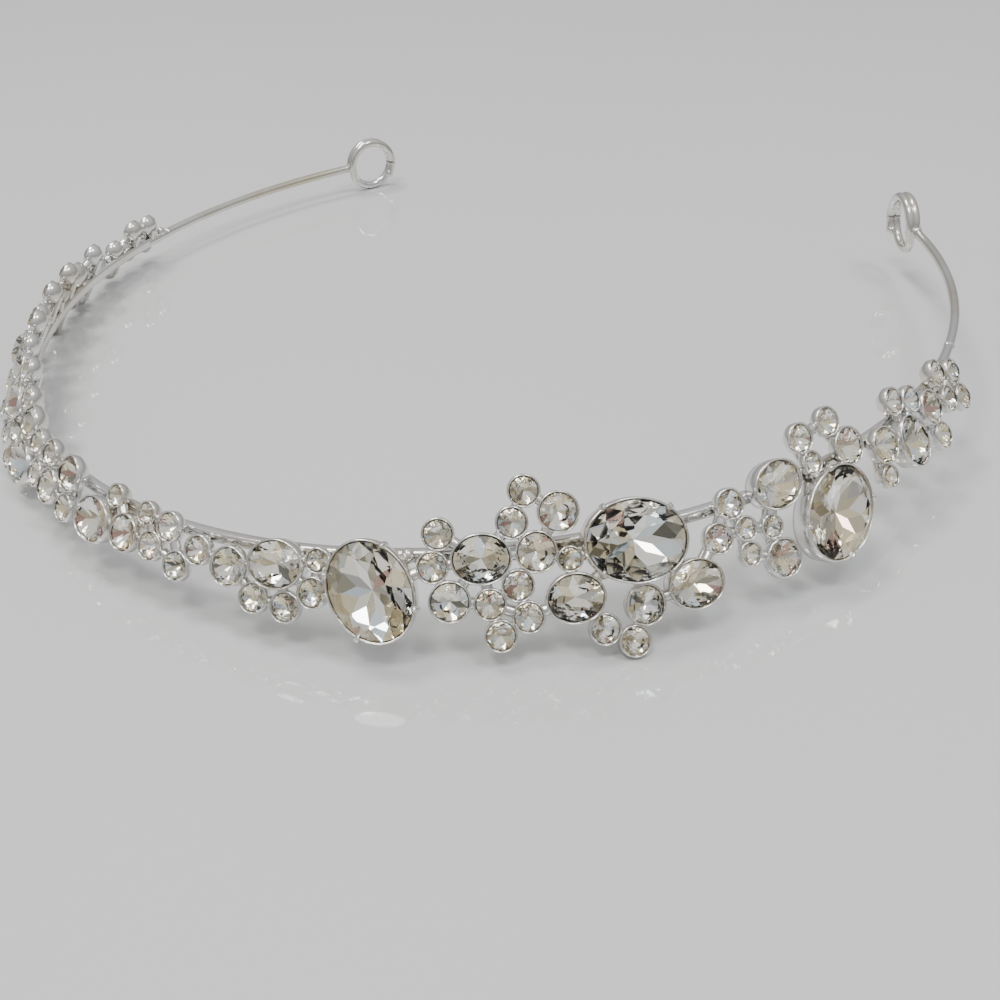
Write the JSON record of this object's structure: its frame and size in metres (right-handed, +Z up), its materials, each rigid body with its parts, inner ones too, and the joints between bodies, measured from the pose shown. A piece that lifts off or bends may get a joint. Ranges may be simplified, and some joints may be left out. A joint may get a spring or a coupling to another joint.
{
  "type": "bridal tiara headband",
  "caption": "C-shaped silver-plated headband with open sprays of bezel-set cut stones soldered along its outer side and a small wire loop at each end.",
  "frame": {"origin": "bottom centre of the bounding box, on the surface the headband lies on", "axes": "+Z up as it lies, +Y from the front middle towards the open ends, +X to the right as seen from the front"},
  "size_m": [0.1416, 0.1274, 0.0182],
  "materials": {
    "silver_plate": "bright silver plate with light wear",
    "champagne_stone": "cut rhinestone, foil backed"
  },
  "bodies": {
    "root": {"silver_frame": "silver_plate", "large_oval_stone_1": "champagne_stone", "large_oval_stone_2": "champagne_stone", "large_oval_stone_3": "champagne_stone", "oval_stone_1": "champagne_stone", "oval_stone_2": "champagne_stone", "oval_stone_3": "champagne_stone", "oval_stone_4": "champagne_stone", "oval_stone_5": "champagne_stone", "oval_stone_6": "champagne_stone", "oval_stone_7": "champagne_stone", "oval_stone_8": "champagne_stone", "oval_stone_9": "champagne_stone", "oval_stone_10": "champagne_stone", "oval_stone_11": "champagne_stone", "round_stone_1": "champagne_stone", "round_stone_2": "champagne_stone", "round_stone_3": "champagne_stone", "round_stone_4": "champagne_stone", "round_stone_5": "champagne_stone", "round_stone_6": "champagne_stone", "round_stone_7": "champagne_stone", "round_stone_8": "champagne_stone", "round_stone_9": "champagne_stone", "round_stone_10": "champagne_stone", "round_stone_11": "champagne_stone", "round_stone_12": "champagne_stone", "round_stone_13": "champagne_stone", "round_stone_14": "champagne_stone", "left_back_stones": "champagne_stone", "left_small_stones": "champagne_stone", "centre_small_stones": "champagne_stone", "right_small_stones": "champagne_stone"}
  },
  "joints": []
}
